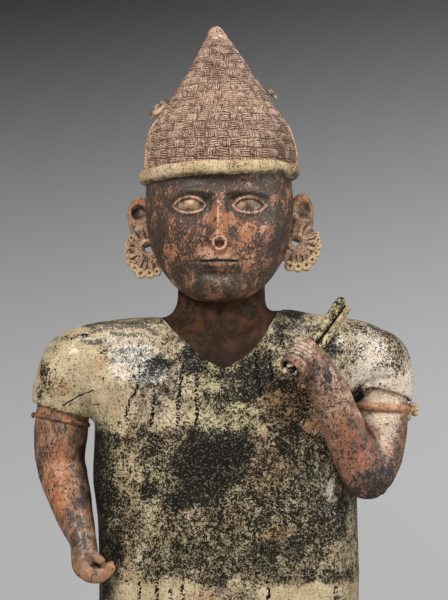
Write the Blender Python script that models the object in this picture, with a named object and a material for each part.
"""A standing figure of fired clay: one person in a conical woven cap and a short-sleeved tunic,
holding two sticks at one shoulder, on a low slab. The whole work is one piece of clay.

+Z is up, the figure faces -Y, and the origin is the centre of the slab's underside.
"""

import math

import bmesh
import bpy
from mathutils import Vector

# Driving sizes, in metres
FIGURE_HEIGHT = 0.705  # from the soles to the tip of the cap
SLAB_THICKNESS = 0.014
SLAB_MARGIN = 0.009  # how far the slab runs past the feet
SLAB_CORNER = 0.034
SLAB_BEVEL = 0.003

# The figure keeps its pose and proportions as shares of its height. Each number below counts
# steps of a 750th of it: x to the viewer's right, y back from the middle, z up from the soles.
STEP = FIGURE_HEIGHT / 750

CLAY = (0.33, 0.24, 0.16, 1.0)
CLAY_ROUGHNESS = 0.42

# Half widths and depths of level sections: z, x, y, half width, half depth
TORSO = (
    (123, 4, 0, 131, 74),
    (150, 4.5, 0, 130, 75),
    (190, 5, 0, 129, 76),
    (255, 3.5, 0, 129.5, 76),
    (295, 1, 0, 131.5, 74),
    (335, 1.5, 0, 131, 71),
    (362, 1, 0, 131.5, 68.5),
    (376, 1, 1, 139, 66.5),
    (390, 1, 1, 150, 64),
    (404, 2, 2, 154, 60),
    (419, 3, 3, 153, 55),
    (433, 5, 3, 148, 49),
    (444, 6, 4, 138, 43),
    (452, 6, 4, 120, 37),
    (456, 5, 4, 98, 33),
    (458, 3, 4, 70, 29),
)
NECK = (
    (410, -2, 0, 60, 44),
    (440, -2, 1, 52, 42),
    (458, -2, 0, 46, 39),
    (480, -2.5, -1, 45, 38),
    (520, -3, -2, 45, 38),
)
HEAD = (
    (472, -4.5, -36, 5, 5),
    (473.5, -4.5, -35, 19, 17),
    (478, -4.5, -31, 31, 28),
    (487, -4.5, -23, 43, 39),
    (501, -4.5, -14, 55, 49),
    (518, -4.5, -8, 65, 58),
    (537, -4.5, -5, 71, 63),
    (558, -4.5, -4, 73.5, 65),
    (582, -4.5, -4, 73.5, 65),
    (600, -4.5, -4, 71, 63),
)
CAP = (
    (590, -4.5, -4, 70, 64),
    (598, -4, -4, 75, 69),
    (610, -3.5, -3, 77, 71),
    (624, -3, -3, 77, 71),
    (638, -3.5, -3, 74, 68),
    (654, -3.5, -2, 66.5, 62),
    (670, -3, -2, 55.5, 52),
    (686, -3, -1, 44.5, 42),
    (702, -4, -1, 34, 32.5),
    (718, -4.5, 0, 25, 24),
    (734, -6, 0, 15.5, 15),
    (742, -7.5, 0, 10, 9.5),
    (747.5, -7.5, 0, 5.5, 5),
)
CAP_TIP = 750
CAP_POWER = 2.0
CAP_EDGE_ROWS = slice(2, 6)  # the rows of the cap that its side edges run along
CAP_EDGE = (2.4, 3)  # radii of a side edge
BRIM_CENTRE = (-4.5, -4, 598.5)
BRIM_REACH = (71.5, 66)
BRIM_RADIUS = 9.7
CAP_LUGS = ((-65, -1, 671, 11, 4, 7), (50, -1, 683, 7, 4, 5))

# The raised edge of the tunic's V: x and z of its left end, its bottom and its right end
NECKLINE = ((-57, 456), (-2, 407), (49, 458))
NECKLINE_RADII = (2.2, 2.6)
TORSO_POWER = 2.5
HEAD_POWER = 2.15

# The face follows the studio canon: thirds from hairline to chin, and widths in fifths
CHIN = 478
FACE_THIRD = 50
FACE_WIDTH = 147
NOSE_BASE = CHIN + FACE_THIRD
BROW = NOSE_BASE + FACE_THIRD
EYE_WIDTH = FACE_WIDTH / 5
EYE_LINE = BROW - FACE_THIRD / 4
MOUTH_LINE = NOSE_BASE - FACE_THIRD / 3

# Tubes: x, y, z, radius across, radius front to back
LEFT_SLEEVE = (
    (-161, 0, 364, 31.5, 30),
    (-159.8, 0, 369, 32.5, 31),
    (-156.5, 0, 388, 34, 36),
    (-141, 1, 411, 37.5, 42),
    (-109, 2, 405, 37, 42),
)
RIGHT_SLEEVE = (
    (155.5, -2, 375, 32.5, 31),
    (156.5, -1, 380, 33, 32),
    (157, 0, 396, 33.5, 36),
    (146, 1, 411, 38.5, 42),
    (116, 2, 405, 37, 42),
)
HANGING_ARM = (
    (-159, 0, 380, 27, 26),
    (-162.5, 0, 345, 28, 27),
    (-165, 1, 326, 25.5, 26),
    (-163.5, 0, 310, 23.5, 24),
    (-159, -6, 294, 23, 23),
    (-155, -13, 278, 21.5, 22),
    (-151, -21, 262, 18.5, 20),
    (-145.5, -31, 245, 14.5, 17),
    (-142, -38, 232, 13.5, 16),
    (-143, -43, 220, 13.5, 17),
    (-139, -46, 209, 12, 18),
    (-131, -48, 203, 9.5, 17),
)
UPPER_ARM = (
    (155, 0, 396, 27, 26),
    (156.5, -3, 365, 27, 27),
    (155.5, -9, 345, 27, 27),
    (151.5, -18, 325, 26.5, 27),
    (147, -27, 309, 25, 26),
    (143, -34, 297, 22, 23),
    (141, -37, 286, 17, 18),
)
FOREARM = (
    (139, -32, 283, 13, 13),
    (139, -35, 290, 20, 20),
    (136, -42, 307, 23, 22),
    (126, -52, 331, 22, 20),
    (115, -62, 358, 20.5, 18),
    (106, -71, 380, 19.5, 16.5),
    (98, -77, 398, 19, 15.5),
    (90, -81, 415, 18, 15),
    (80, -84, 425, 13, 14),
)
HIPS = (
    (126, 3, 0, 122, 67),
    (113, 3, 0, 114, 63),
    (101, 2, 0, 98, 55),
    (91, 1, 0, 64, 36),
)
LEG = (
    (70, 0, 140, 50, 57),
    (70, 0, 108, 48, 54),
    (71, 4, 78, 45, 48),
    (72, 9, 50, 43, 45),
    (73, 11, 28, 37, 40),
    (73, 11, 12, 35, 40),
)
FOOT = (
    (-1, 74, -9, 39, 66),
    (3, 74, -9, 41, 68),
    (12, 74, -9, 41, 67),
    (22, 74, -5, 38, 60),
    (31, 74, 3, 32, 46),
    (37, 74, 10, 20, 30),
)

# Sticks run from the fist, low and forward, up over the shoulder
STICK_FOOT = Vector((66, -101, 407))
STICK_HEAD = Vector((118, -48, 474))
STICK_RADIUS = 5.2
STICK_START = 8
STICK_GAP = 9.6
FIST_REACH = (12, 20, 28, 36)  # the four fingers along the sticks
FIST_RADIUS = 13.5
PALM_REACH = (10, 24, 39)
PALM_RADIUS = 15
FINGER_RADIUS = 5

EAR_RADII = (13, 9, 20)
EARS = ((-84, 2, 559), (77.5, 2, 562))
LOBE_RADII = (11, 9, 10)
LOBES = ((-81.5, -4, 540), (76.5, -4, 544))
PENDANTS = ((-75, -12, 527, 142, 284), (71, -12, 531, 40, -104))
PENDANT_RADIUS = 22
PENDANT_HOLE = 5
EYE_RADIUS = 6.5  # the clay ring round the pendant's hole
EYE_THICKNESS = 3
PLEATS = 7
BEADS = 9
ARMBANDS = ((-163, 0, 355, 27, 0.2), (156, -4, 369, 27.5, -0.05))
ARMBAND_RADIUS = 3.6
ARMBAND_KNOT = ((189, -6, 366), (6.5, 6, 5.5))

forms = bpy.data.collections.new("forms")
clay = bpy.data.materials.new("burnished clay")


def start_scene():
    for old in list(bpy.data.objects):
        bpy.data.objects.remove(old)
    bpy.context.scene.collection.children.link(forms)
    forms.hide_render = True
    clay.use_nodes = True
    shader = clay.node_tree.nodes["Principled BSDF"]
    shader.inputs["Base Color"].default_value = CLAY
    shader.inputs["Roughness"].default_value = CLAY_ROUGHNESS
    shader.inputs["Metallic"].default_value = 0.0


def spot(x, y, z):
    """A place on the figure, in metres."""
    return Vector((x * STEP, y * STEP, SLAB_THICKNESS + z * STEP))


def rounded(value, power):
    """A sine or cosine, pushed outward so that an ellipse turns into a soft box."""
    return math.copysign(abs(value) ** (2 / power), value)


def smooth_rows(rows, count):
    """Rows read from one smooth curve through the given ones."""
    found = []
    for index in range(count):
        place = index * (len(rows) - 1) / (count - 1)
        first = min(int(place), len(rows) - 2)
        part = place - first
        near = [rows[max(0, min(len(rows) - 1, first + k))] for k in (-1, 0, 1, 2)]
        found.append(
            tuple(
                0.5
                * (
                    2 * b
                    + (c - a) * part
                    + (2 * a - 5 * b + 4 * c - d) * part**2
                    + (3 * b - a - 3 * c + d) * part**3
                )
                for a, b, c, d in zip(*near)
            )
        )
    return found


def skin(name, rings, closed=False, helper=True):
    """A closed body through rings of points. A ring of one point is a tip."""
    mesh = bpy.data.meshes.new(name)
    body = bmesh.new()
    made = [[body.verts.new(point) for point in ring] for ring in rings]
    pairs = list(zip(made, made[1:] + made[:1])) if closed else list(zip(made, made[1:]))
    for low, high in pairs:
        count = max(len(low), len(high))
        for k in range(count):
            after = (k + 1) % count
            corners = [low[k % len(low)], low[after % len(low)]]
            corners += [high[after % len(high)], high[k % len(high)]]
            body.faces.new(list(dict.fromkeys(corners)))
    if not closed:
        for ring in (made[0], made[-1]):
            if len(ring) > 2:
                body.faces.new(ring)
    bmesh.ops.recalc_face_normals(body, faces=body.faces)
    body.to_mesh(mesh)
    body.free()
    mesh.shade_smooth()
    mesh.set_sharp_from_angle(angle=math.radians(50))
    mesh.materials.append(clay)
    thing = bpy.data.objects.new(name, mesh)
    if helper:
        forms.objects.link(thing)
        thing.hide_render = True
        thing.display_type = "WIRE"
    else:
        bpy.context.scene.collection.objects.link(thing)
    return thing


def level_ring(row, sides, power):
    z, x, y, wide, deep = row
    turns = [2 * math.pi * k / sides for k in range(sides)]
    return [
        spot(x + wide * rounded(math.sin(a), power), y - deep * rounded(math.cos(a), power), z)
        for a in turns
    ]


def loft(name, rows, sides, rings, power=2.0, tip=None, helper=True):
    """Level sections one over the other, with an optional tip at this height."""
    sections = smooth_rows(rows, rings)
    found = [level_ring(row, sides, power) for row in sections]
    if tip is not None:
        found.append([spot(sections[-1][1], sections[-1][2], tip)])
    return skin(name, found, helper=helper)


def tube(name, path, sides, rings, power=2.0, closed=False):
    """A limb along a path, with its own two radii at each station."""
    rows = path if closed else smooth_rows(path, rings)
    count = len(rows)
    found = []
    for index, (x, y, z, across, deep) in enumerate(rows):
        before = rows[index - 1] if closed or index else rows[0]
        after = rows[(index + 1) % count] if closed or index + 1 < count else rows[-1]
        way = (Vector(after[:3]) - Vector(before[:3])).normalized()
        side = way.cross(Vector((0, 1, 0))).normalized()
        front = side.cross(way)
        ring = []
        for k in range(sides):
            angle = 2 * math.pi * k / sides
            off = side * across * rounded(math.cos(angle), power)
            off = off + front * deep * rounded(math.sin(angle), power)
            ring.append(spot(x + off.x, y + off.y, z + off.z))
        found.append(ring)
    return skin(name, found, closed=closed)


def pebble(name, centre, radii, sides=7, rings=4):
    """A small rounded body."""
    found = [[spot(centre[0], centre[1], centre[2] - radii[2])]]
    for row in range(1, rings):
        angle = math.pi * row / rings
        z = centre[2] - radii[2] * math.cos(angle)
        wide, deep = radii[0] * math.sin(angle), radii[1] * math.sin(angle)
        found.append(level_ring((z, centre[0], centre[1], wide, deep), sides, 2.0))
    found.append([spot(centre[0], centre[1], centre[2] + radii[2])])
    return skin(name, found)


def bump(across, up, middle, height, wide, tall):
    return math.exp(-(((across - middle) / wide) ** 2) - ((up - height) / tall) ** 2)


def face_relief(across, up):
    """How far the face stands forward at this place, from thirds and fifths alone."""
    away = abs(across)
    eye = EYE_WIDTH
    forward = 3.0 * bump(away, up, 26, BROW + 1, 26, 6)
    forward -= 6.0 * bump(away, up, eye, EYE_LINE, 17, 9)
    forward += 7.0 * bump(away, up, eye, EYE_LINE, 12, 5.5)
    forward += 3.0 * bump(away, up, 34, NOSE_BASE + 6, 18, 16)
    ridge = min(1.0, max(0.0, (BROW - up) / FACE_THIRD))
    under = 1 / (1 + math.exp(-(up - NOSE_BASE + 1) / 1.3))
    above = 1 / (1 + math.exp((up - BROW + 3) / 4))
    width = 6 + 5 * ridge**2
    forward += (5 + 15 * ridge) * under * above * math.exp(-((across / width) ** 2))
    forward += 7.5 * bump(away, up, eye / 2 - 4, NOSE_BASE + 5, 5, 5)
    forward += 4.5 * bump(across, up, 0, MOUTH_LINE, 24, 13)
    forward += 4.0 * bump(across, up, 0, MOUTH_LINE + 4.5, 17, 3.6)
    forward += 4.5 * bump(across, up, 0, MOUTH_LINE - 5.5, 15, 4)
    forward -= 4.5 * bump(across, up, 0, MOUTH_LINE, 19, 2.2)
    forward -= 2.5 * bump(across, up, 0, MOUTH_LINE - 13, 18, 4)
    return forward + 5.0 * bump(across, up, 0, CHIN + 8, 17, 10)


def make_head():
    sides, rings = 30, 29
    found = []
    for z, x, y, wide, deep in smooth_rows(HEAD, rings):
        ring = []
        for k in range(sides):
            turn = 2 * math.pi * k / sides
            angle = turn - 0.65 * math.sin(turn)
            across = wide * rounded(math.sin(angle), HEAD_POWER)
            facing = max(0.0, math.cos(angle)) ** 0.5
            forward = deep * rounded(math.cos(angle), HEAD_POWER)
            forward += facing * face_relief(across, z)
            ring.append(spot(x + across, y - forward, z))
        found.append(ring)
    skin("head", found)


def torso_front(x, z):
    """The y of the tunic's front face at this x and height."""
    rows = smooth_rows(TORSO, 60)
    row = min(rows, key=lambda near: abs(near[0] - z))
    share = min(1.0, abs(x - row[1]) / row[3])
    return row[2] - row[4] * (1 - share**TORSO_POWER) ** (1 / TORSO_POWER)


def make_neckline():
    """The raised edge of the tunic: a V in front that runs up to both sides of the neck."""
    steps = 6
    path = []
    for start, end in zip(NECKLINE, NECKLINE[1:]):
        for k in range(steps):
            x = start[0] + (end[0] - start[0]) * k / steps
            z = start[1] + (end[1] - start[1]) * k / steps
            path.append((x, torso_front(x, z) - 0.4, z, *NECKLINE_RADII))
    x, z = NECKLINE[-1]
    path.append((x, torso_front(x, z) - 0.4, z, *NECKLINE_RADII))
    tube("neckline", path, 5, 11)


def make_cap():
    loft("cap", CAP, 22, 13, power=CAP_POWER, tip=CAP_TIP)
    brim = []
    for k in range(24):
        angle = 2 * math.pi * k / 24
        x = BRIM_CENTRE[0] + BRIM_REACH[0] * math.sin(angle)
        y = BRIM_CENTRE[1] - BRIM_REACH[1] * math.cos(angle)
        brim.append((x, y, BRIM_CENTRE[2], BRIM_RADIUS, BRIM_RADIUS))
    level_band("brim", brim, 6)
    for side in (-1, 1):
        edge = CAP[CAP_EDGE_ROWS]
        path = [(x + side * (wide - 0.5), y, z, *CAP_EDGE) for z, x, y, wide, deep in edge]
        tube(f"cap edge {side}", path, 6, 6)
    for side, lug in zip(("left", "right"), CAP_LUGS):
        pebble(f"cap lug {side}", lug[:3], lug[3:])


def level_band(name, rows, sides):
    """A ring of clay that lies level, along a closed path."""
    found = []
    count = len(rows)
    for index, (x, y, z, wide, tall) in enumerate(rows):
        way = Vector(rows[(index + 1) % count][:3]) - Vector(rows[index - 1][:3])
        out = way.normalized().cross(Vector((0, 0, 1)))
        ring = []
        for k in range(sides):
            angle = 2 * math.pi * k / sides
            off = out * wide * math.cos(angle)
            ring.append(spot(x + off.x, y + off.y, z + tall * math.sin(angle)))
        found.append(ring)
    return skin(name, found, closed=True)


def make_ear(name, centre):
    """A hollowed ear, open to the front: outside back to front, then down into the bowl."""
    wide, deep, tall = EAR_RADII
    shells = ((0.55, 0.9), (0.9, 0.45), (1.0, -0.15), (0.9, -0.45), (0.68, -0.3), (0.5, 0.15))
    found = [[spot(centre[0], centre[1] + deep, centre[2])]]
    for size, back in shells:
        ring = []
        for k in range(12):
            angle = 2 * math.pi * k / 12
            up = math.cos(angle)
            x = centre[0] + wide * size * math.sin(angle) * (0.9 + 0.15 * up)
            ring.append(spot(x, centre[1] + deep * back, centre[2] + tall * size * up))
        found.append(ring)
    found.append([spot(centre[0], centre[1] + deep * 0.2, centre[2] - 1)])
    skin(name, found)


def make_pendant(name, pendant):
    """A pleated fan hung from the ear by its eye, with a row of beads along its edge."""
    x, y, z, start, end = pendant
    eye = []
    for k in range(8):
        angle = 2 * math.pi * k / 8
        across, up = EYE_RADIUS * math.cos(angle), EYE_RADIUS * math.sin(angle)
        eye.append((x + across, y, z + up, EYE_THICKNESS, EYE_THICKNESS))
    tube(f"{name} eye", eye, 5, len(eye), closed=True)
    found = []
    for k in range(2 * PLEATS + 1):
        angle = math.radians(start + (end - start) * k / (2 * PLEATS))
        lift = 1.4 if k % 2 else -0.6
        profile = (
            (PENDANT_HOLE, 3.5),
            (PENDANT_RADIUS, 2.5),
            (PENDANT_RADIUS, -1.0 - lift),
            (0.6 * PENDANT_RADIUS, -3.0 - lift),
            (PENDANT_HOLE, -3.0),
        )
        way = (math.cos(angle), math.sin(angle))
        found.append([spot(x + r * way[0], y + back, z + r * way[1]) for r, back in profile])
    skin(name, found)
    for k in range(BEADS):
        part = k / (BEADS - 1)
        size = 2.9 + 1.7 * part
        angle = math.radians(start + (end - start) * (0.03 + 0.94 * part))
        reach = PENDANT_RADIUS + 1.6
        centre = (x + reach * math.cos(angle), y - 1.5, z + reach * math.sin(angle))
        pebble(f"{name} bead {k}", centre, (size, size, size), sides=6, rings=3)


def make_armband(name, armband):
    x, y, z, radius, lean = armband
    rows = []
    for k in range(12):
        angle = 2 * math.pi * k / 12
        across = radius * math.sin(angle)
        depth = y - radius * math.cos(angle)
        rows.append((x + across, depth, z - lean * across, ARMBAND_RADIUS, ARMBAND_RADIUS))
    level_band(name, rows, 5)


def finger(name, centre, side, front, radius, start, end, thick):
    """A curled finger: an arc in the plane of side and front, tapered to its tip."""
    path = []
    for k in range(6):
        angle = math.radians(start + (end - start) * k / 5)
        place = centre + side * radius * math.cos(angle) + front * radius * math.sin(angle)
        size = thick * (1.0 - 0.12 * k / 5)
        path.append((*place, size, size))
    tube(name, path, 5, 7)


def make_fist():
    """The raised hand: four fingers wrapped round the two sticks."""
    way = (STICK_HEAD - STICK_FOOT).normalized()
    side = way.cross(Vector((0, 1, 0))).normalized()
    front = side.cross(way)
    gap = (side - front * 0.35).normalized() * STICK_GAP
    for name, shift, top in (("stick front", -0.5, 0.0), ("stick back", 0.5, -4.0)):
        low = STICK_FOOT + gap * shift + way * STICK_START
        high = STICK_HEAD + gap * shift + way * top
        path = [(*low.lerp(high, k / 3), STICK_RADIUS, STICK_RADIUS) for k in range(4)]
        tube(name, path, 8, 5)
    for k, reach in enumerate(FIST_REACH):
        centre = STICK_FOOT + way * reach
        finger(f"raised finger {k}", centre, side, front, FIST_RADIUS, 20, -215, FINGER_RADIUS)
    palm = [STICK_FOOT + way * reach for reach in PALM_REACH]
    tube("palm", [(*place, PALM_RADIUS, PALM_RADIUS) for place in palm], 10, 3)


def make_hanging_hand():
    """The lowered hand: a soft hook of four fingers, with the thumb laid to their tips."""
    for k in range(4):
        y = -60 + 7.4 * k
        path = (
            (-142, y + 2, 214, 5, 4.6),
            (-140, y + 1, 203, 5.4, 4.8),
            (-131, y, 197, 5.4, 4.8),
            (-121, y - 1, 199, 5.0, 4.4),
            (-112, y - 2, 207, 4.4, 4.0),
        )
        tube(f"lowered finger {k}", path, 5, 7)
    thumb = (
        (-137, -50, 226, 6, 7),
        (-130, -58, 222, 5.4, 6),
        (-123, -62, 216, 5.0, 5),
        (-117, -62, 210, 4.2, 4.4),
    )
    tube("lowered thumb", thumb, 5, 6)


def make_legs():
    for side in (-1, 1):
        leg = [(side * x, y, z, wide, deep) for x, y, z, wide, deep in LEG]
        tube(f"leg {side}", leg, 12, 6)
        foot = [(z, side * x, y, wide, deep) for z, x, y, wide, deep in FOOT]
        loft(f"foot {side}", foot, 14, 6, power=2.5)
    loft("hips", HIPS, 20, 4, power=2.4)


def make_slab():
    """A low slab with round corners, as wide and deep as the feet and a margin need."""
    x_far = (max(row[1] + row[3] for row in FOOT)) * STEP + SLAB_MARGIN
    y_front = min(row[2] - row[4] for row in FOOT) * STEP - SLAB_MARGIN
    y_back = -y_front
    corner = min(SLAB_CORNER, x_far, y_back)
    outline = []
    for x_sign, y_sign, start in ((1, 1, 0), (-1, 1, 90), (-1, -1, 180), (1, -1, 270)):
        middle_x, middle_y = x_sign * (x_far - corner), y_sign * (y_back - corner)
        for k in range(5):
            angle = math.radians(start + 22.5 * k)
            outline.append((middle_x, middle_y, corner, math.cos(angle), math.sin(angle)))
    rings = []
    bevel = min(SLAB_BEVEL, SLAB_THICKNESS / 2)
    for z, inset in ((0, 0), (SLAB_THICKNESS - bevel, 0), (SLAB_THICKNESS, bevel)):
        size = [(x, y, max(0.0001, r - inset), c, s) for x, y, r, c, s in outline]
        rings.append([Vector((x + r * c, y + r * s, z)) for x, y, r, c, s in size])
    skin("slab", rings)


def main():
    start_scene()
    figure = loft("figure", TORSO, 30, 17, power=TORSO_POWER, helper=False)
    loft("neck", NECK, 18, 5)
    make_head()
    make_cap()
    make_neckline()
    tube("left sleeve", LEFT_SLEEVE, 16, 7)
    tube("right sleeve", RIGHT_SLEEVE, 16, 7)
    tube("hanging arm", HANGING_ARM, 12, 14)
    tube("upper arm", UPPER_ARM, 12, 7)
    tube("forearm", FOREARM, 12, 9)
    for name, ear, lobe in zip(("left ear", "right ear"), EARS, LOBES):
        make_ear(name, ear)
        pebble(f"{name} lobe", lobe, LOBE_RADII)
    for name, pendant in zip(("left pendant", "right pendant"), PENDANTS):
        make_pendant(name, pendant)
    for name, armband in zip(("left armband", "right armband"), ARMBANDS):
        make_armband(name, armband)
    pebble("armband knot", *ARMBAND_KNOT)
    make_fist()
    make_hanging_hand()
    make_legs()
    make_slab()
    join = figure.modifiers.new("one piece of clay", "BOOLEAN")
    join.operation = "UNION"
    join.operand_type = "COLLECTION"
    join.collection = forms
    join.solver = "EXACT"


main()
